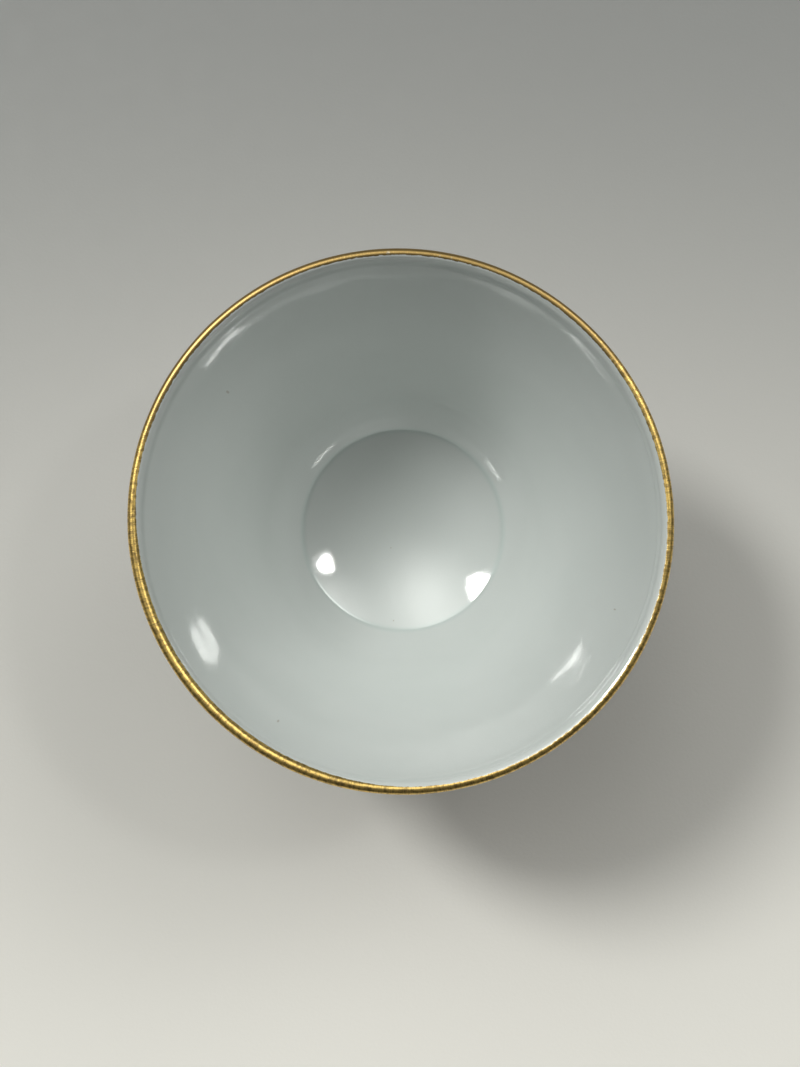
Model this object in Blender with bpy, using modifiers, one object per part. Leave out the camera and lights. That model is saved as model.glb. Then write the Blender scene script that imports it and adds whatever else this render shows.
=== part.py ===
# A small porcelain tea cup: a dished floor, a rounded belly, a wall that flares
# to a thin lip, and a turned foot ring with a hollow underside.
# Lengths are in metres and slopes in degrees from level. The origin is on the
# cup's axis, on the surface that it stands on.

from math import asin, atan2, cos, degrees, pi, radians, sin, tan

import bpy
from mathutils import Vector

# Whole cup
RIM_DIAMETER = 0.0800
CUP_HEIGHT = 0.0558

# Inside of the cup
WELL_RADIUS = 0.0174
WELL_DEPTH = 0.00295
CREASE_SLOPE = 34.0
BELLY_RADIUS = 0.0229
BELLY_HEIGHT = 0.0100
WALL_BOW = 1.0

# Lip, which turns out from the wall
LIP_THICKNESS = 0.0012
LIP_REACH = 0.0040
LIP_DROP = 0.0096
LIP_SLOPE = 63.5

# Thickness of the floor and the wall, which thins from its base to the lip
FLOOR_THICKNESS = 0.0030
WALL_AT_BASE = 0.0042
WALL_TAPER = 1.6

# Foot ring
FOOT_DIAMETER = 0.0360
FOOT_RING_WIDTH = 0.0026
FOOT_RECESS = 0.0048
FOOT_LEAN = 4.0
RECESS_DOME = 0.0004
FOOT_EDGE_RADIUS = 0.0005
FOOT_FILLET_RADIUS = 0.0012

# Facets
TURNS = 96
WELL_SPANS = 5
BELLY_SPANS = 5
WALL_SPANS = 3
FLARE_SPANS = 4
LIP_SPANS = 6
FILLET_SPANS = 2
MERGE_DISTANCE = 0.00001

# Finish
GLAZE_COLOR = (0.70, 0.74, 0.71, 1.0)
GLAZE_ROUGHNESS = 0.06


def uphill(slope):
    """Unit vector that climbs outwards at a slope."""
    return Vector((cos(radians(slope)), sin(radians(slope))))


def into_clay(slope):
    """Unit vector from the inside face of the cup, at a slope, into its clay."""
    return Vector((sin(radians(slope)), -cos(radians(slope))))


def sweep(start, start_slope, end, end_slope, spans):
    """A fair curve between two points, as (point, slope) pairs without the first."""
    length = (end - start).length
    leaving = uphill(start_slope) * length
    arriving = uphill(end_slope) * length
    line = []
    for step in range(1, spans + 1):
        t = step / spans
        point = (
            start * (2 * t**3 - 3 * t**2 + 1)
            + leaving * (t**3 - 2 * t**2 + t)
            + end * (3 * t**2 - 2 * t**3)
            + arriving * (t**3 - t**2)
        )
        along = (
            (start - end) * (6 * t**2 - 6 * t)
            + leaving * (3 * t**2 - 4 * t + 1)
            + arriving * (3 * t**2 - 2 * t)
        )
        line.append((point, degrees(atan2(along.y, along.x))))
    return line


def rounded(before, corner, after, radius, spans):
    """Points of the arc that rounds a corner between two straight lines."""
    back = (before - corner).normalized()
    on = (after - corner).normalized()
    half_angle = back.angle(on) / 2
    room = min((before - corner).length, (after - corner).length) / 2
    reach = min(radius / tan(half_angle), room)
    centre = corner + (back + on).normalized() * (reach / cos(half_angle))
    first = corner + back * reach - centre
    turn = pi - 2 * half_angle
    if first.x * on.y < first.y * on.x:
        turn = -turn
    points = []
    for step in range(spans + 1):
        angle = turn * step / spans
        spoke = Vector((
            first.x * cos(angle) - first.y * sin(angle),
            first.x * sin(angle) + first.y * cos(angle),
        ))
        points.append(centre + spoke)
    return points


def floor_line(floor_z):
    """The dished floor, from the axis to the crease, as (point, slope) pairs."""
    dish_radius = (WELL_RADIUS**2 + WELL_DEPTH**2) / (2 * WELL_DEPTH)
    edge_angle = asin(WELL_RADIUS / dish_radius)
    line = []
    for step in range(WELL_SPANS + 1):
        angle = edge_angle * step / WELL_SPANS
        rise = dish_radius * (1 - cos(angle))
        point = Vector((dish_radius * sin(angle), floor_z + rise))
        line.append((point, degrees(angle)))
    return line


def wall_line(crease, floor_z):
    """The inside of the wall, from the crease to the lip, as (point, slope) pairs."""
    lip_radius = LIP_THICKNESS / 2
    lip_centre = Vector((RIM_DIAMETER / 2 - lip_radius, CUP_HEIGHT - lip_radius))
    lip_start = lip_centre - into_clay(LIP_SLOPE) * lip_radius
    belly = Vector((BELLY_RADIUS, floor_z + BELLY_HEIGHT))
    flare = lip_start - Vector((LIP_REACH, LIP_DROP))
    wall_slope = degrees(atan2(flare.y - belly.y, flare.x - belly.x))
    belly_slope = wall_slope - WALL_BOW
    flare_slope = wall_slope + WALL_BOW
    line = [(crease, CREASE_SLOPE)]
    line += sweep(crease, CREASE_SLOPE, belly, belly_slope, BELLY_SPANS)
    line += sweep(belly, belly_slope, flare, flare_slope, WALL_SPANS)
    line += sweep(flare, flare_slope, lip_start, LIP_SLOPE, FLARE_SPANS)
    return line


def lip_round(wall_end, slope):
    """The rounded lip, between the ends of the inner and the outer line."""
    lip_radius = LIP_THICKNESS / 2
    centre = wall_end + into_clay(slope) * lip_radius
    points = []
    for step in range(1, LIP_SPANS):
        angle = radians(slope + 90) - pi * step / LIP_SPANS
        points.append(centre + Vector((cos(angle), sin(angle))) * lip_radius)
    return points


def outer_line(floor, wall):
    """The outside of the floor and the wall, from the lip in to the axis."""
    lengths = [0.0]
    for (low, _), (high, _) in zip(wall, wall[1:]):
        lengths.append(lengths[-1] + (high - low).length)
    points = []
    for point, slope in floor:
        share = point.x / WELL_RADIUS
        thickness = FLOOR_THICKNESS + (WALL_AT_BASE - FLOOR_THICKNESS) * share
        points.append(point + into_clay(slope) * thickness)
    for (point, slope), length in zip(wall, lengths):
        share = (1 - length / lengths[-1]) ** WALL_TAPER
        thickness = LIP_THICKNESS + (WALL_AT_BASE - LIP_THICKNESS) * share
        points.append(point + into_clay(slope) * thickness)
    points.reverse()
    return points


def foot_line(outside, floor_z):
    """The outside of the cup from the lip down, with its foot ring, in to the axis."""
    lean = tan(radians(FOOT_LEAN))
    outer_radius = FOOT_DIAMETER / 2
    inner_radius = outer_radius - FOOT_RING_WIDTH
    recess_z = floor_z - FLOOR_THICKNESS
    wall = [point for point in outside if point.x > outer_radius + FOOT_FILLET_RADIUS]
    wall_end = wall[-1]
    run = outside[len(wall)] - wall_end
    share = (outer_radius + lean * wall_end.y - wall_end.x) / (run.x - lean * run.y)
    shoulder = wall_end + run * share
    outer_foot = Vector((outer_radius, 0.0))
    inner_foot = Vector((inner_radius, 0.0))
    recess_edge = Vector((inner_radius - recess_z * lean, recess_z - RECESS_DOME))
    recess_centre = Vector((0.0, recess_z))
    return (
        wall
        + rounded(wall_end, shoulder, outer_foot, FOOT_FILLET_RADIUS, FILLET_SPANS)
        + rounded(shoulder, outer_foot, inner_foot, FOOT_EDGE_RADIUS, FILLET_SPANS)
        + rounded(outer_foot, inner_foot, recess_edge, FOOT_EDGE_RADIUS, FILLET_SPANS)
        + rounded(inner_foot, recess_edge, recess_centre, FOOT_FILLET_RADIUS, FILLET_SPANS)
        + [recess_centre]
    )


def cup_section():
    """Half of the cup's section, from the floor's centre over the lip to the underside."""
    floor_z = FOOT_RECESS + FLOOR_THICKNESS
    floor = floor_line(floor_z)
    wall = wall_line(floor[-1][0], floor_z)
    inside = [point for point, _ in floor + wall[1:]]
    outside = outer_line(floor, wall)
    return inside + lip_round(*wall[-1]) + foot_line(outside, floor_z)


def glazed_porcelain():
    """Clear glaze over white porcelain."""
    material = bpy.data.materials.new("glazed_porcelain")
    material.use_nodes = True
    shader = material.node_tree.nodes["Principled BSDF"]
    shader.inputs["Base Color"].default_value = GLAZE_COLOR
    shader.inputs["Metallic"].default_value = 0.0
    shader.inputs["Roughness"].default_value = GLAZE_ROUGHNESS
    return material


def turned(name, section, material, collection):
    """A solid turned about Z from half of its section."""
    mesh = bpy.data.meshes.new(name)
    corners = [(point.x, 0.0, point.y) for point in section]
    edges = [(corner, corner + 1) for corner in range(len(corners) - 1)]
    mesh.from_pydata(corners, edges, [])
    mesh.materials.append(material)
    solid = bpy.data.objects.new(name, mesh)
    collection.objects.link(solid)
    screw = solid.modifiers.new("turn", "SCREW")
    screw.axis = "Z"
    screw.steps = TURNS
    screw.render_steps = TURNS
    screw.use_merge_vertices = True
    screw.merge_threshold = MERGE_DISTANCE
    screw.use_smooth_shade = True
    return solid


for old in list(bpy.data.objects):
    bpy.data.objects.remove(old, do_unlink=True)

tea_cup = bpy.data.collections.new("tea_cup")
bpy.context.scene.collection.children.link(tea_cup)

turned("cup", cup_section(), glazed_porcelain(), tea_cup)
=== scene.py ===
from math import asin, atan2, cos, degrees, pi, radians, sin, tan

import bpy
import numpy as np
from mathutils import Matrix, Vector


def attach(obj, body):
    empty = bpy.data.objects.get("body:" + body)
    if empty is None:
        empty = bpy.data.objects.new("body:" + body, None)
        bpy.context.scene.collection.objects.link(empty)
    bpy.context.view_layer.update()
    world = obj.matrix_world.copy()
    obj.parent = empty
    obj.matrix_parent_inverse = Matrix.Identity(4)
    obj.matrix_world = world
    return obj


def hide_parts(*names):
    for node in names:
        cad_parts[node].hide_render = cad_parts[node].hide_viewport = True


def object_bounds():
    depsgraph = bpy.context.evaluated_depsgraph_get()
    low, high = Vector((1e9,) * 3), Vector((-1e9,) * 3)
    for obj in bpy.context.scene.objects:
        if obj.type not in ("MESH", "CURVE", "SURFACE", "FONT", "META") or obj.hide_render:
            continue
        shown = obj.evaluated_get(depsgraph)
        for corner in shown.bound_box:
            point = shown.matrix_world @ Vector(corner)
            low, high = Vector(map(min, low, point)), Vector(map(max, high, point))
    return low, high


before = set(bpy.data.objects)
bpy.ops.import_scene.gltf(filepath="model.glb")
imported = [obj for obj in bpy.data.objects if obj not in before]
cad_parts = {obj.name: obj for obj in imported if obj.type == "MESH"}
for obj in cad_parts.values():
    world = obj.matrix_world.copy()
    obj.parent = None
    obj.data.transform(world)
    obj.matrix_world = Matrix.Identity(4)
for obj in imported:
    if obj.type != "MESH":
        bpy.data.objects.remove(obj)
cad_low, cad_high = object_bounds()

# The cup's body: one piece of white porcelain, thrown and turned to its section,
# with a dished well, a round belly, a wall that flares to a lip rolled out at its
# edge, and a foot ring of the same clay. The kiln drew the rim a little oval.
MILLIMETRES = 1000.0
RIM_RADIUS = cad_high[0]
CUP_HEIGHT = cad_high[2]
WELL_RADIUS = 0.0174
WELL_DEPTH = 0.00295
CREASE_SLOPE = 34.0
CREASE_ROUNDING = 0.0030
BELLY_RADIUS = 0.0229
BELLY_HEIGHT = 0.0100
WALL_BOW = 1.0
LIP_THICKNESS = 0.0012
LIP_REACH = 0.0040
LIP_DROP = 0.0096
LIP_SLOPE = 63.5
ROLL_LENGTH = 0.0024
ROLL_SLOPE = 44.0
ROLL_RADIUS = 0.0008
ROLL_SPACING = 0.0002
FLOOR_THICKNESS = 0.0030
WALL_AT_BASE = 0.0042
WALL_TAPER = 1.6
FOOT_RADIUS = 0.0180
FOOT_RING_WIDTH = 0.0026
FOOT_RECESS = 0.0048
FOOT_LEAN = 4.0
RECESS_DOME = 0.0004
FOOT_EDGE_RADIUS = 0.0005
FOOT_FILLET_RADIUS = 0.0012
OUT_OF_ROUND = 0.0055
LONG_AXIS = 135
WAVES = 14
WAVE_SEED = 7
WAVE_LENGTHS = (0.0030, 0.0080)
WAVE_SLOPE = 0.0024
POINT_SPACING = 0.0007
LIP_POINTS = 14
ROUND_POINTS = 6
AROUND = 320


def uphill(slope):
    """Unit vector that climbs outwards at a slope."""
    return Vector((cos(radians(slope)), sin(radians(slope))))


def into_clay(slope):
    """Unit vector from the inside face of the cup, at a slope, into its clay."""
    return Vector((sin(radians(slope)), -cos(radians(slope))))


def sweep(start, start_slope, end, end_slope, spacing=POINT_SPACING):
    """A fair curve between two points, as (point, slope) pairs without the first."""
    length = (end - start).length
    leaving = uphill(start_slope) * length
    arriving = uphill(end_slope) * length
    spans = round(length / spacing)
    line = []
    for step in range(1, spans + 1):
        t = step / spans
        point = (
            start * (2 * t**3 - 3 * t**2 + 1)
            + leaving * (t**3 - 2 * t**2 + t)
            + end * (3 * t**2 - 2 * t**3)
            + arriving * (t**3 - t**2)
        )
        along = (
            (start - end) * (6 * t**2 - 6 * t)
            + leaving * (3 * t**2 - 4 * t + 1)
            + arriving * (3 * t**2 - 2 * t)
        )
        line.append((point, degrees(atan2(along.y, along.x))))
    return line


def straight(start, end):
    """Points of a straight line between two points, without its ends."""
    spans = max(1, round((end - start).length / POINT_SPACING))
    return [start.lerp(end, step / spans) for step in range(1, spans)]


def rounded(before, corner, after, radius):
    """Points of the arc that rounds a corner between two straight lines."""
    back = (before - corner).normalized()
    on = (after - corner).normalized()
    half_angle = back.angle(on) / 2
    room = min((before - corner).length, (after - corner).length) / 2
    reach = min(radius / tan(half_angle), room)
    centre = corner + (back + on).normalized() * (reach / cos(half_angle))
    first = corner + back * reach - centre
    turn = pi - 2 * half_angle
    if first.x * on.y < first.y * on.x:
        turn = -turn
    points = []
    for step in range(ROUND_POINTS + 1):
        angle = turn * step / ROUND_POINTS
        points.append(centre + Vector((
            first.x * cos(angle) - first.y * sin(angle),
            first.x * sin(angle) + first.y * cos(angle),
        )))
    return points


floor_z = FOOT_RECESS + FLOOR_THICKNESS
dish_radius = (WELL_RADIUS**2 + WELL_DEPTH**2) / (2 * WELL_DEPTH)
well_angle = asin(WELL_RADIUS / dish_radius)
well_spans = round(WELL_RADIUS / POINT_SPACING)
floor_line = []
for step in range(well_spans + 1):
    angle = well_angle * step / well_spans
    rise = dish_radius * (1 - cos(angle))
    point = Vector((dish_radius * sin(angle), floor_z + rise))
    floor_line.append((point, degrees(angle)))

crease = floor_line[-1][0]
lip_radius = LIP_THICKNESS / 2
lip_centre = Vector((RIM_RADIUS - lip_radius, CUP_HEIGHT - lip_radius))
lip_start = lip_centre - into_clay(LIP_SLOPE) * lip_radius
belly = Vector((BELLY_RADIUS, floor_z + BELLY_HEIGHT))
flare = lip_start - Vector((LIP_REACH, LIP_DROP))
wall_slope = degrees(atan2(flare.y - belly.y, flare.x - belly.x))
belly_slope = wall_slope - WALL_BOW
flare_slope = wall_slope + WALL_BOW
wall_line = [(crease, CREASE_SLOPE)]
wall_line += sweep(crease, CREASE_SLOPE, belly, belly_slope)
wall_line += sweep(belly, belly_slope, flare, flare_slope)
wall_line += sweep(flare, flare_slope, lip_start, LIP_SLOPE)

inside = [point for point, _ in floor_line[:-1]]
inside += rounded(inside[-1], crease, wall_line[1][0], CREASE_ROUNDING)
roll_from = lip_start.y - ROLL_LENGTH * sin(radians(LIP_SLOPE))
plain_wall = wall_line[1:]
while plain_wall[-1][0].y > roll_from:
    plain_wall.pop()
roll_centre = Vector((RIM_RADIUS - ROLL_RADIUS, CUP_HEIGHT - ROLL_RADIUS))
roll_start = roll_centre - into_clay(ROLL_SLOPE) * ROLL_RADIUS
rolled = sweep(*plain_wall[-1], roll_start, ROLL_SLOPE, ROLL_SPACING)
inside += [point for point, _ in plain_wall + rolled]
lip = []
roll_turn = ROLL_SLOPE + 90
for step in range(1, LIP_POINTS):
    angle = radians(roll_turn - roll_turn * step / LIP_POINTS)
    lip.append(roll_centre + Vector((cos(angle), sin(angle))) * ROLL_RADIUS)

lengths = [0.0]
for (low, _), (high, _) in zip(wall_line, wall_line[1:]):
    lengths.append(lengths[-1] + (high - low).length)
outside = []
for (point, slope), length in zip(wall_line, lengths):
    share = (1 - length / lengths[-1]) ** WALL_TAPER
    thickness = LIP_THICKNESS + (WALL_AT_BASE - LIP_THICKNESS) * share
    if point.y < lip_start.y - ROLL_RADIUS:
        outside.insert(0, point + into_clay(slope) * thickness)
wall_end = outside[-1]
well_point, well_slope = floor_line[-2]
run = well_point + into_clay(well_slope) * WALL_AT_BASE - wall_end
lean = tan(radians(FOOT_LEAN))
share = (FOOT_RADIUS + lean * wall_end.y - wall_end.x) / (run.x - lean * run.y)
shoulder = wall_end + run * share
inner_foot_radius = FOOT_RADIUS - FOOT_RING_WIDTH
recess_radius = inner_foot_radius - FOOT_RECESS * lean
outer_foot = Vector((FOOT_RADIUS, 0.0))
inner_foot = Vector((inner_foot_radius, 0.0))
recess_edge = Vector((recess_radius, FOOT_RECESS - RECESS_DOME))
recess_centre = Vector((0.0, FOOT_RECESS))
foot = []
corners = [
    (wall_end, shoulder, outer_foot, FOOT_FILLET_RADIUS),
    (shoulder, outer_foot, inner_foot, FOOT_EDGE_RADIUS),
    (outer_foot, inner_foot, recess_edge, FOOT_EDGE_RADIUS),
    (inner_foot, recess_edge, recess_centre, FOOT_FILLET_RADIUS),
]
for before, corner, after, radius in corners:
    arc = rounded(before, corner, after, radius)
    foot += straight((foot or outside)[-1], arc[0]) + arc
foot += straight(foot[-1], recess_centre) + [recess_centre]
section = np.array(inside + lip + outside + foot)

turns = np.arange(AROUND) * 2 * pi / AROUND
rings = section[1:-1]
oval = np.cos(2 * (turns - radians(LONG_AXIS)))
drawn = OUT_OF_ROUND * (rings[:, 1:] / CUP_HEIGHT) ** 2 * oval
ring_radius = rings[:, :1] * (1 + drawn)
ring_at = np.zeros((len(rings), AROUND, 3))
ring_at[:, :, 0] = ring_radius * np.cos(turns)
ring_at[:, :, 1] = ring_radius * np.sin(turns)
ring_at[:, :, 2] = rings[:, 1:]

dice = np.random.default_rng(WAVE_SEED)
wave = np.zeros((len(rings), AROUND))
for _ in range(WAVES):
    length = dice.uniform(*WAVE_LENGTHS)
    way = dice.normal(size=3)
    way *= 2 * pi / (length * np.linalg.norm(way))
    height = WAVE_SLOPE * length / (2 * pi)
    wave += height * np.sin(ring_at @ way + dice.uniform(0, 2 * pi))
tangent = np.gradient(section, axis=0)[1:-1]
tangent /= np.linalg.norm(tangent, axis=1, keepdims=True)
on_wall = np.clip((rings[:, 1] - FOOT_RECESS) / FOOT_RECESS, 0, 1)
wave *= on_wall[:, None]
ring_at[:, :, 0] -= wave * tangent[:, 1:] * np.cos(turns)
ring_at[:, :, 1] -= wave * tangent[:, 1:] * np.sin(turns)
ring_at[:, :, 2] += wave * tangent[:, :1]

poles = np.array([[0, 0, section[0, 1]], [0, 0, section[-1, 1]]])
points = np.concatenate([ring_at.reshape(-1, 3), poles])
index = np.arange(len(rings) * AROUND).reshape(len(rings), AROUND)
beside = np.roll(index, -1, axis=1)
walls = np.stack([index[:-1], index[1:], beside[1:], beside[:-1]], -1).reshape(-1, 4)
well_pole = len(points) - 2
recess_pole = len(points) - 1
caps = [(well_pole, a, b) for a, b in zip(index[0], beside[0])]
caps += [(recess_pole, b, a) for a, b in zip(index[-1], beside[-1])]
cup_mesh = bpy.data.meshes.new("cup_body")
cup_mesh.from_pydata(points.tolist(), [], walls.tolist() + caps)
cup_mesh.shade_smooth()
cup = bpy.data.objects.new("cup_body", cup_mesh)
bpy.context.scene.collection.objects.link(cup)

along = np.concatenate([[0], np.cumsum(np.hypot(*np.diff(section, axis=0).T))])
crest = int(section[:, 1].argmax())
from_lip = (along - along[crest]) * MILLIMETRES
per_point = np.concatenate([np.repeat(from_lip[1:-1], AROUND), from_lip[[0, -1]]])
attribute = cup_mesh.attributes.new("from_lip", "FLOAT", "POINT")
attribute.data.foreach_set("value", per_point.astype(np.float32))

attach(cup, "root")
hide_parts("cup")

# The glaze: a clear coat with a faint blue-green cast, fired over the whole cup
# but for the bare footrim. It has a fine ripple like orange peel, it lies thicker
# and bluer in the crease of the well, and a few specks are in it.
GLAZE_PALE = (0.598, 0.627, 0.614, 1.0)
GLAZE_COOL = (0.583, 0.614, 0.600, 1.0)
GLAZE_POOLED = (0.537, 0.591, 0.574, 1.0)
GLAZE_ROUGHNESS = 0.045
GLAZE_IOR = 1.6
GLAZE_COAT = 1.0
GLAZE_COAT_ROUGHNESS = 0.03
CLAY_IOR = 1.52
# From here to the foot, sizes and depths on the surface are in millimetres.
CLOUD_SIZE = 17.0
CLOUD_RANGE = (0.35, 0.65)
CLOUD_ROUGHNESS = 0.02
RIPPLES = ((1.3, 0.0060), (0.50, 0.0060), (0.28, 0.0055))
POOL_HALF_WIDTH = 0.9
SPECK_BROWN = (0.30, 0.24, 0.18, 1.0)
SPECK_STRENGTH = 0.5
# Each speck: its place along x and y, and its radius.
SPECKS = (
    (-18.5, -30.0, 0.22),
    (-1.6, -15.8, 0.16),
    (-2.1, -3.1, 0.14),
    (32.4, -13.2, 0.18),
    (-26.8, 20.3, 0.26),
)


class Shade:
    """A value, a colour or a vector on its way through the nodes of a material."""

    def __init__(self, tree, socket=None):
        self.tree = tree
        self.socket = socket

    def node(self, kind, settings=None, inputs=None, output=0):
        """Adds a node: its settings first, then its sockets' values or links."""
        made = self.tree.nodes.new(kind)
        for name, setting in (settings or {}).items():
            setattr(made, name, setting)
        for name, given in (inputs or {}).items():
            if isinstance(given, Shade):
                self.tree.links.new(given.socket, made.inputs[name])
            else:
                made.inputs[name].default_value = given
        return Shade(self.tree, made.outputs[output])

    def math(self, operation, *values):
        """This value and up to two more through a Math node."""
        return self.node(
            "ShaderNodeMath", {"operation": operation}, dict(enumerate((self, *values)))
        )

    def __add__(self, other):
        return self.math("ADD", other)

    def __radd__(self, other):
        return self.math("ADD", other)

    def __sub__(self, other):
        return self.math("SUBTRACT", other)

    def __rsub__(self, other):
        return self.math("MULTIPLY_ADD", -1.0, other)

    def __mul__(self, other):
        return self.math("MULTIPLY", other)

    def __rmul__(self, other):
        return self.math("MULTIPLY", other)

    def __truediv__(self, other):
        return self.math("DIVIDE", other)

    def unsigned(self):
        """This value without its sign."""
        return self.math("ABSOLUTE")

    def hypot(self, other):
        """The distance that this and another value span at a right angle."""
        return (self * self + other * other).math("SQRT")

    def step(self, low, high):
        """0 below low and 1 above high, with a smooth rise between."""
        return self.node(
            "ShaderNodeMapRange",
            {"interpolation_type": "SMOOTHSTEP"},
            {"Value": self, "From Min": low, "From Max": high},
        )

    def mix(self, first, second):
        """A colour that goes from first to second as this goes from 0 to 1."""
        return self.node(
            "ShaderNodeMix", {"data_type": "RGBA"}, {0: self, 6: first, 7: second}, 2
        )

    def noise(self, size, detail=1.0):
        """Even noise in 3-D, with lumps of a given size."""
        inputs = {"Vector": self, "Scale": 1 / size, "Detail": detail}
        return self.node("ShaderNodeTexNoise", {}, inputs)

    def parts(self):
        """The x, y and z of a vector."""
        split = self.node("ShaderNodeSeparateXYZ", {}, {"Vector": self}).socket.node
        return [Shade(self.tree, socket) for socket in split.outputs]

    def far_from(self, x, y):
        """Distance of this vector's x and y from a point."""
        mine_x, mine_y, _ = self.parts()
        return (mine_x - x).hypot(mine_y - y)

    def towards(self, way):
        """The share of this vector that points a given way."""
        settings = {"operation": "DOT_PRODUCT"}
        return self.node("ShaderNodeVectorMath", settings, {0: self, 1: way}, "Value")


class Glaze:
    """A glazed material of the cup, to be painted over before it is fired."""

    def __init__(self, name):
        self.material = bpy.data.materials.new(name)
        self.material.use_nodes = True
        tree = self.material.node_tree
        self.shader = tree.nodes["Principled BSDF"]
        self.shader.inputs["IOR"].default_value = CLAY_IOR
        self.shader.inputs["Coat Weight"].default_value = GLAZE_COAT
        self.shader.inputs["Coat IOR"].default_value = GLAZE_IOR
        self.shader.inputs["Coat Roughness"].default_value = GLAZE_COAT_ROUGHNESS
        metres = Shade(tree).node("ShaderNodeTexCoord", output="Object")
        self.place = metres.node(
            "ShaderNodeVectorMath", {"operation": "SCALE"}, {0: metres, "Scale": MILLIMETRES}
        )
        self.from_lip = metres.node(
            "ShaderNodeAttribute", {"attribute_name": "from_lip"}, output="Fac"
        )
        cloud = self.place.noise(CLOUD_SIZE)
        self.color = cloud.step(*CLOUD_RANGE).mix(GLAZE_PALE, GLAZE_COOL)
        self.roughness = cloud * CLOUD_ROUGHNESS + GLAZE_ROUGHNESS
        ripples = [self.place.noise(size) * depth for size, depth in RIPPLES]
        self.height = ripples[0] + ripples[1] + ripples[2]
        self.painted = None

    def paint(self, mask, tint):
        """Lays an enamel over the glaze where the mask is 1."""
        self.color = mask.mix(self.color, tint)
        self.painted = self.painted.math("MAXIMUM", mask) if self.painted else mask

    def fire(self, metallic=None, uncoated=None):
        """Joins what was painted to the shader, and gives the cup the material."""
        relief = {"Height": self.height, "Distance": 1 / MILLIMETRES}
        given = {
            "Base Color": self.color,
            "Roughness": self.roughness,
            "Normal": self.height.node("ShaderNodeBump", {}, relief),
        }
        if metallic:
            given["Metallic"] = metallic
        if uncoated:
            given["Coat Weight"] = 1 - uncoated
        for name, shade in given.items():
            shade.tree.links.new(shade.socket, self.shader.inputs[name])
        cup_mesh.materials.append(self.material)


inner = Glaze("inner_glaze")
crease_at = float(from_lip[len(floor_line) + ROUND_POINTS // 2 - 1])
from_crease = (inner.from_lip - crease_at).unsigned()
inner.color = from_crease.step(0, POOL_HALF_WIDTH).mix(GLAZE_POOLED, inner.color)
for speck_x, speck_y, speck_radius in SPECKS:
    from_speck = inner.place.far_from(speck_x, speck_y)
    speck = 1 - from_speck.step(speck_radius / 2, speck_radius)
    inner.color = (speck * SPECK_STRENGTH).mix(inner.color, SPECK_BROWN)
inner.fire()

# The gilding: soft gold brushed over the fired lip and a hair's breadth down both
# its faces, and fired on again. Its edges are ragged, it lies thin and brown in
# patches, painted shade darkens it further on the far side, and nicks in its inner edge let
# the glaze through.
GOLD = (0.85, 0.59, 0.18, 1.0)
# The darker gold stands both for thin patches and for painted shade on the far side.
GOLD_THIN_AND_SHADE = (0.26, 0.17, 0.07, 1.0)
GOLD_WORN = (0.52, 0.43, 0.28, 1.0)
GILT_METAL = 0.9
GILT_ROUGHNESS = 0.33
GILT_INSIDE = -0.45
GILT_OUTSIDE = 1.6
GILT_MARGIN = 1.4
INNER_EDGE_BLUR = 0.04
OUTER_EDGE_BLUR = 0.05
# Each swell: its azimuth round the cup, and how much wider the gilding is there.
GILT_SWELLS = ((222, 0.80), (323, -0.20), (95, -0.10))
SWELL_RANGE = (0.60, 1.0)
BRUSH_SIZE = 0.17
BRUSH_RAGGED = 0.16
BRUSH_ROUGHNESS = 0.12
BRUSH_DEPTH = 0.020
PATCH_SIZE = 0.55
PATCH_RAGGED = 0.36
PATCH_DEPTH = 0.008
# What patches, brush marks and glaze add on average, to be taken off again.
MEAN_RAGGED = 0.26
MEAN_ROUGHNESS = 0.10
# Painted shade: the gold is darkened towards this azimuth, the far side, where it reflects
# less of the lamps' light.
SHADE_TOWARDS = 98
SHADE_SIDE = (0.3, 0.9)
SHADE_SIDE_SHARE = 0.60
THIN_BRUSHING = 0.5
THIN_AND_SHADE_RANGE = (0.62, 0.95)
THIN_AND_SHADE_STRENGTH = 0.8
# Each nick: its azimuth round the cup, and its radius.
NICKS = ((92.6, 0.40), (81.5, 0.22), (79.0, 0.18), (300.0, 0.20))
NICK_INSET = 0.85
NICK_RAGGED = 0.3
NICK_CORE = 0.6
NICK_BLUR = 0.15
NICK_BARE = 0.25
NICK_STRENGTH = 0.6


def level(azimuth):
    """The level unit vector at an angle round the cup, in degrees from +X."""
    return Vector((cos(radians(azimuth)), sin(radians(azimuth)), 0))


lip_glaze = Glaze("gilded_lip")
place = lip_glaze.place
rim_radius = RIM_RADIUS * MILLIMETRES
x, y, _ = place.parts()
from_axis = place.far_from(0, 0)
spoke = place.node("ShaderNodeCombineXYZ", {}, {"X": x / from_axis, "Y": y / from_axis})
brushed = spoke.noise(BRUSH_SIZE / rim_radius, 2.0)
patchy = place.noise(PATCH_SIZE, 3.0)
ragged = lip_glaze.from_lip
for azimuth, wider in GILT_SWELLS:
    ragged = ragged + spoke.towards(level(azimuth)).step(*SWELL_RANGE) * wider
ragged = ragged + patchy * PATCH_RAGGED + brushed * BRUSH_RAGGED - MEAN_RAGGED
gilt_in = ragged.step(GILT_INSIDE - INNER_EDGE_BLUR, GILT_INSIDE + INNER_EDGE_BLUR)
gilt_out = ragged.step(GILT_OUTSIDE - OUTER_EDGE_BLUR, GILT_OUTSIDE + OUTER_EDGE_BLUR)
gilt = gilt_in * (1 - gilt_out)
worn = 0 * from_axis
for azimuth, nick_radius in NICKS:
    nick = level(azimuth) * (rim_radius - NICK_INSET)
    away = place.far_from(nick.x, nick.y) + patchy * NICK_RAGGED
    nicked = 1 - away.step(nick_radius * NICK_CORE, nick_radius + NICK_BLUR)
    worn = worn.math("MAXIMUM", nicked)
gilt = gilt * (1 - worn * NICK_BARE)
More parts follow.
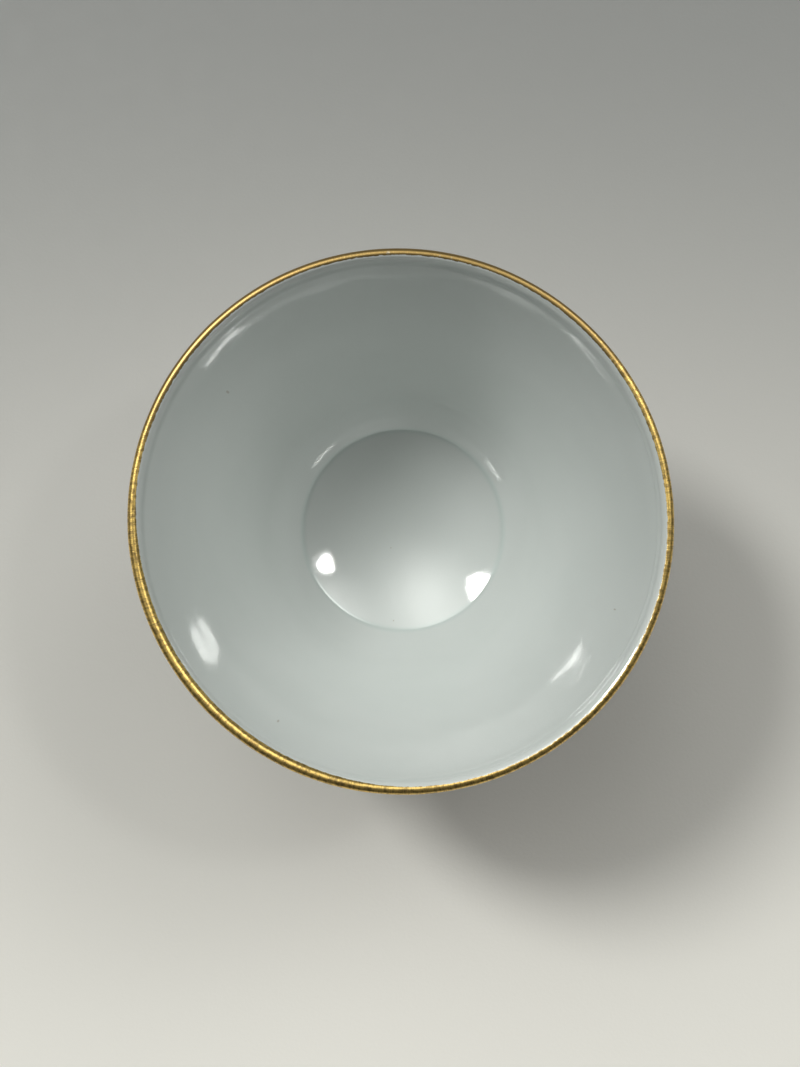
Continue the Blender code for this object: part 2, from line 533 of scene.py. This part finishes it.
# Painted shade on the far side, added to the gold's own thin patches and brush marks.
painted_shade_side = spoke.towards(level(SHADE_TOWARDS)).step(*SHADE_SIDE)
thin_and_shade = patchy + brushed * THIN_BRUSHING + painted_shade_side * SHADE_SIDE_SHARE
laid = (thin_and_shade.step(*THIN_AND_SHADE_RANGE) * THIN_AND_SHADE_STRENGTH).mix(GOLD, GOLD_THIN_AND_SHADE)
lip_glaze.color = gilt.mix(lip_glaze.color, laid)
lip_glaze.color = (worn * gilt_in * NICK_STRENGTH).mix(lip_glaze.color, GOLD_WORN)
duller = brushed * BRUSH_ROUGHNESS + GILT_ROUGHNESS - MEAN_ROUGHNESS
lip_glaze.roughness += gilt * duller
lip_glaze.height += gilt * (brushed * BRUSH_DEPTH + patchy * PATCH_DEPTH)
lip_glaze.fire(metallic=gilt * GILT_METAL, uncoated=gilt)

# The enamels: opaque rose, green and yellow, painted outside over the glaze and
# fired on at a low heat. Three like sprays go round the wall, and coral lines go
# round above the foot. They are colour, with no relief.
DEEP_ROSE = (0.47, 0.030, 0.105, 1.0)
PALE_ROSE = (0.88, 0.53, 0.56, 1.0)
POLLEN = (0.80, 0.55, 0.10, 1.0)
LEAF_DARK = (0.035, 0.150, 0.060, 1.0)
LEAF_LIGHT = (0.200, 0.380, 0.090, 1.0)
STEM_BROWN = (0.130, 0.075, 0.030, 1.0)
CORAL = (0.520, 0.075, 0.030, 1.0)
ENAMEL_ROUGHNESS = 0.06
ENAMEL_UNCOATED = 0.7
SPRAYS = 3
SPRAY_TURN = -90
# Places on the wall are given across a spray and down from the lip.
# Each stem: its start, its end, and how far it bends down.
STEMS = (
    (-20.0, 36.5, -6.0, 20.0, 2.2),
    (-13.0, 33.5, 11.5, 27.0, 3.0),
    (-2.5, 33.5, 15.5, 12.5, -1.5),
)
STEM_EDGE = (0.20, 0.32)
STEM_ENDS = (0, 0.01)
# Each fan of three leaves: its place, its heading, and a leaf's length.
LEAF_FANS = (
    (-11.5, 33.0, 205, 8.5),
    (-15.5, 25.5, 160, 7.5),
    (1.0, 32.5, 300, 7.5),
    (4.5, 20.5, 30, 7.0),
    (17.5, 26.5, 355, 6.0),
    (12.5, 17.0, 140, 4.6),
)
LEAF_SPREAD = 0.85
LEAF_FATNESS = 0.30
LEAF_EDGE = (0, 0.14)
LEAF_FOLD = (-0.05, 0.05)
LEAF_VEIN = (0.08, 0.20)
# Each blossom: its place and radius. Each round of petals: its share of that
# radius, how many petals it has, and the turn that it starts at.
BLOSSOMS = ((-7.0, 19.0, 8.2), (11.5, 27.0, 5.4), (15.5, 12.5, 2.9))
PETAL_ROUNDS = ((1.00, 9, 0.0), (0.72, 7, 0.9), (0.44, 5, 1.7))
PETAL_NOTCH = 0.2
PETAL_FADE = (0.55, 0.98)
PETAL_EDGE = (0.985, 1.015)
STREAKS = 6
STREAK_WIDTH = (0.2, 0.9)
STREAK_FROM = (0.5, 0.7)
STREAK_STRENGTH = 0.35
POLLEN_EDGE = (0.10, 0.14)
# Each line: how far down it is, and half its width.
CORAL_LINES = ((42.3, 0.28), (43.2, 0.14))
LINE_BLUR = 0.08

enamelled = Glaze("enamelled_wall")
down = enamelled.from_lip
x, y, _ = enamelled.place.parts()
half_spray = pi / SPRAYS
wall_turn = y.math("ARCTAN2", x) - radians(SPRAY_TURN)
spray_turn = wall_turn.math("WRAP", half_spray, -half_spray)
across = spray_turn * enamelled.place.far_from(0, 0)

for start_x, start_y, end_x, end_y, bend in STEMS:
    share = (across - start_x) / (end_x - start_x)
    between = share * (1 - share)
    curve = between * (4 * bend) + share * (end_y - start_y) + start_y
    stem = 1 - (down - curve).unsigned().step(*STEM_EDGE)
    enamelled.paint(stem * between.step(*STEM_ENDS), STEM_BROWN)

for fan_x, fan_y, heading, leaf_length in LEAF_FANS:
    off_x = across - fan_x
    off_y = fan_y - down
    from_stalk = off_x.hypot(off_y)
    fan_angle = (off_y.math("ARCTAN2", off_x) - radians(heading)).math("WRAP", pi, -pi)
    nearest = (fan_angle / LEAF_SPREAD).math("ROUND")
    leaf = nearest.math("MINIMUM", 1.0).math("MAXIMUM", -1.0)
    leaf_angle = fan_angle - leaf * LEAF_SPREAD
    down_leaf = from_stalk * leaf_angle.math("COSINE") / leaf_length
    off_vein = from_stalk * leaf_angle.math("SINE")
    half_leaf = down_leaf * (1 - down_leaf) * (2 * LEAF_FATNESS * leaf_length)
    blade = (half_leaf - off_vein.unsigned()).step(*LEAF_EDGE)
    side = off_vein.step(*LEAF_FOLD).mix(LEAF_DARK, LEAF_LIGHT)
    enamelled.paint(blade, off_vein.unsigned().step(*LEAF_VEIN).mix(LEAF_DARK, side))

for flower_x, flower_y, flower_radius in BLOSSOMS:
    off_x = across - flower_x
    off_y = down - flower_y
    from_eye = off_x.hypot(off_y) / flower_radius
    petal_angle = off_y.math("ARCTAN2", off_x)
    for edge, petals, lag in PETAL_ROUNDS:
        notch = (petal_angle * (petals / 2) + lag).math("COSINE").unsigned()
        outline = notch * (PETAL_NOTCH * edge) + (1 - PETAL_NOTCH) * edge
        depth = from_eye / outline
        petal = depth.step(*PETAL_FADE).mix(DEEP_ROSE, PALE_ROSE)
        streak = (petal_angle * (petals * STREAKS)).math("COSINE").step(*STREAK_WIDTH)
        streak = streak * depth.step(*STREAK_FROM) * STREAK_STRENGTH
        enamelled.paint(1 - depth.step(*PETAL_EDGE), streak.mix(petal, DEEP_ROSE))
    enamelled.paint(1 - from_eye.step(*POLLEN_EDGE), POLLEN)

for line_at, half_width in CORAL_LINES:
    off_line = (down - line_at).unsigned()
    enamelled.paint(1 - off_line.step(half_width, half_width + LINE_BLUR), CORAL)
enamelled.roughness += enamelled.painted * ENAMEL_ROUGHNESS
enamelled.fire(uncoated=enamelled.painted * ENAMEL_UNCOATED)

# The foot: glazed over its sides and in its recess, with a thin gold line round
# it, and bare where it stood in the kiln, so the rim is dry, grainy biscuit with
# a toasted edge to the glaze.
BISCUIT = (0.62, 0.57, 0.47, 1.0)
BISCUIT_EDGE = (0.47, 0.30, 0.16, 1.0)
BISCUIT_ROUGHNESS = 0.6
BISCUIT_TOP = 0.6
BISCUIT_WANDER = 0.3
WANDER_SIZE = 1.5
GLAZE_END = 0.15
TOAST_WIDTH = 0.6
DRY_DROP = 0.2
GRAIN_SIZE = 0.3
GRAIN_RANGE = (0.3, 0.6)
GRAIN_DEPTH = 0.02
FOOT_GOLD_AT = 4.6
FOOT_GOLD_HALF = 0.28
FOOT_SIDE = 0.99

foot_glaze = Glaze("foot_glaze")
_, _, z = foot_glaze.place.parts()
foot_radius = FOOT_RADIUS * MILLIMETRES
outer_side = foot_glaze.place.far_from(0, 0).step(foot_radius * FOOT_SIDE, foot_radius)
off_line = (z - FOOT_GOLD_AT).unsigned()
gold_line = outer_side * (1 - off_line.step(FOOT_GOLD_HALF, FOOT_GOLD_HALF + LINE_BLUR))
foot_glaze.color = gold_line.mix(foot_glaze.color, GOLD)
edge = z + foot_glaze.place.noise(WANDER_SIZE) * BISCUIT_WANDER
bare = 1 - edge.step(BISCUIT_TOP, BISCUIT_TOP + GLAZE_END)
toasted = 1 - edge.step(BISCUIT_TOP, BISCUIT_TOP + TOAST_WIDTH)
dry = 1 - edge.step(BISCUIT_TOP - DRY_DROP, BISCUIT_TOP)
grain = foot_glaze.place.noise(GRAIN_SIZE, 3.0)
biscuit = grain.step(*GRAIN_RANGE).mix(BISCUIT_EDGE, BISCUIT)
foot_glaze.color = toasted.mix(foot_glaze.color, BISCUIT_EDGE)
foot_glaze.color = dry.mix(foot_glaze.color, biscuit)
duller = bare * BISCUIT_ROUGHNESS + gold_line * (GILT_ROUGHNESS - GLAZE_ROUGHNESS)
foot_glaze.roughness += duller
foot_glaze.height += bare * grain * GRAIN_DEPTH
foot_glaze.fire(metallic=gold_line, uncoated=bare.math("MAXIMUM", gold_line))

ring_lip = (from_lip[1:-2] + from_lip[2:-1]) / 2
shoulder_at = float(from_lip[len(inside) + len(lip) + len(outside)])
finish = np.zeros(len(ring_lip), dtype=int)
finish[ring_lip > GILT_INSIDE - GILT_MARGIN] = 1
finish[ring_lip > GILT_OUTSIDE + GILT_MARGIN] = 2
finish[ring_lip > shoulder_at] = 3
caps_finish = [np.zeros(AROUND), np.full(AROUND, 3)]
per_face = np.concatenate([np.repeat(finish, AROUND), *caps_finish])
cup_mesh.polygons.foreach_set("material_index", per_face.astype(np.int32))

# The surface that the cup stands on: a plain pale sheet with a soft, dull face,
# laid flat, with painted shade that makes it darker towards the far side. It is part of the
# stage.
SHEET_SIZE = 4.0
SHEET_NEAR = (0.86, 0.835, 0.79, 1.0)
# Painted shade: the far tone, much darker than the near one, stands in for the lamps' light
# falling off.
SHEET_FAR_SHADED = (0.240, 0.242, 0.238, 1.0)
SHEET_SHADE_FADE = (-0.12, 0.12)
SHEET_ROUGHNESS = 0.55
MOTTLE_SIZE = 0.004
MOTTLE_ROUGHNESS = 0.1
FIBRE_SIZE = 0.0006
FIBRE_DEPTH = 0.00002

table_mesh = bpy.data.meshes.new("table")
half = SHEET_SIZE / 2
sheet_corners = [(-half, -half, 0), (half, -half, 0), (half, half, 0), (-half, half, 0)]
table_mesh.from_pydata(sheet_corners, [], [(0, 1, 2, 3)])
table = bpy.data.objects.new("table", table_mesh)
bpy.context.scene.collection.objects.link(table)
sheet = bpy.data.materials.new("pale_sheet")
sheet.use_nodes = True
tree = sheet.node_tree
shader = tree.nodes["Principled BSDF"]
spot = Shade(tree).node("ShaderNodeTexCoord", output="Object")
_, along_y, _ = spot.parts()
fibre = spot.noise(FIBRE_SIZE, 2.0)
# The base colour carries painted shade that darkens towards the far side.
dull = {
    "Base Color": along_y.step(*SHEET_SHADE_FADE).mix(SHEET_NEAR, SHEET_FAR_SHADED),
    "Roughness": spot.noise(MOTTLE_SIZE) * MOTTLE_ROUGHNESS + SHEET_ROUGHNESS,
    "Normal": fibre.node("ShaderNodeBump", {}, {"Height": fibre, "Distance": FIBRE_DEPTH}),
}
for name, given in dull.items():
    tree.links.new(given.socket, shader.inputs[name])
table_mesh.materials.append(sheet)

# The light: one small round lamp behind the cup at the right and a tall soft
# panel behind it at the left, each aimed at the cup, with the soft glow that they
# throw on a pale ceiling. The rest of the room gives back only a little.
ROOM_LIGHT = 0.010
ROOM_COLOR = (0.985, 1.00, 0.96, 1.0)
# Each lamp: name, azimuth, angle from the vertical, distance, width, height, watts.
LAMPS = (
    ("lamp_right", 28.0, 29.6, 0.70, 0.070, 0.058, 0.35),
    ("lamp_left", 141.0, 38.5, 3.33, 0.60, 1.00, 55.0),
)
# Each glow: azimuth, angle from the vertical, strength.
GLOWS = (
    (40, 54, 2.20),
    (50, 45, 4.55),
    (110, 45, 2.20),
    (140, 50, 2.35),
    (110, 25, 2.45),
)
GLOW_FOCUS = 40


def direction(azimuth, from_vertical):
    """Unit vector from the cup to a place in the room."""
    tilt = radians(from_vertical)
    return level(azimuth) * sin(tilt) + Vector((0, 0, cos(tilt)))


for name, azimuth, from_vertical, distance, width, height, watts in LAMPS:
    light = bpy.data.lights.new(name, "AREA")
    light.shape = "ELLIPSE"
    light.size = width
    light.size_y = height
    light.energy = watts
    light.color = ROOM_COLOR[:3]
    lamp = bpy.data.objects.new(name, light)
    bpy.context.scene.collection.objects.link(lamp)
    way = direction(azimuth, from_vertical)
    lamp.location = Vector((0, 0, CUP_HEIGHT / 2)) + way * distance
    lamp.rotation_euler = way.to_track_quat("Z", "Y").to_euler()

world = bpy.data.worlds.new("room")
bpy.context.scene.world = world
world.use_nodes = True
background = world.node_tree.nodes["Background"]
background.inputs["Color"].default_value = ROOM_COLOR
looking = Shade(world.node_tree).node("ShaderNodeTexCoord", output="Generated")
glow = ROOM_LIGHT
for azimuth, from_vertical, strength in GLOWS:
    facing = looking.towards(direction(azimuth, from_vertical))
    glow = facing.math("MAXIMUM", 0.0).math("POWER", GLOW_FOCUS) * strength + glow
world.node_tree.links.new(glow.socket, background.inputs["Strength"])
bpy.context.scene.view_settings.view_transform = "Standard"

# The camera: it stands over the cup and looks almost straight down into it,
# with everything in focus.
LENS = 54.28
NEAR_LIMIT = 0.01
CAMERA_AT = Vector((0.00222, -0.00876, 0.29023))
AIM_AT = Vector((-0.00019, -0.00152, 0.04034))

camera_data = bpy.data.cameras.new("camera")
camera_data.lens = LENS
camera_data.clip_start = NEAR_LIMIT
camera = bpy.data.objects.new("camera", camera_data)
bpy.context.scene.collection.objects.link(camera)
back = (CAMERA_AT - AIM_AT).normalized()
right = Vector((0, 1, 0)).cross(back).normalized()
up = back.cross(right)
camera.matrix_world = Matrix((
    (right.x, up.x, back.x, CAMERA_AT.x),
    (right.y, up.y, back.y, CAMERA_AT.y),
    (right.z, up.z, back.z, CAMERA_AT.z),
    (0, 0, 0, 1),
))
bpy.context.scene.camera = camera
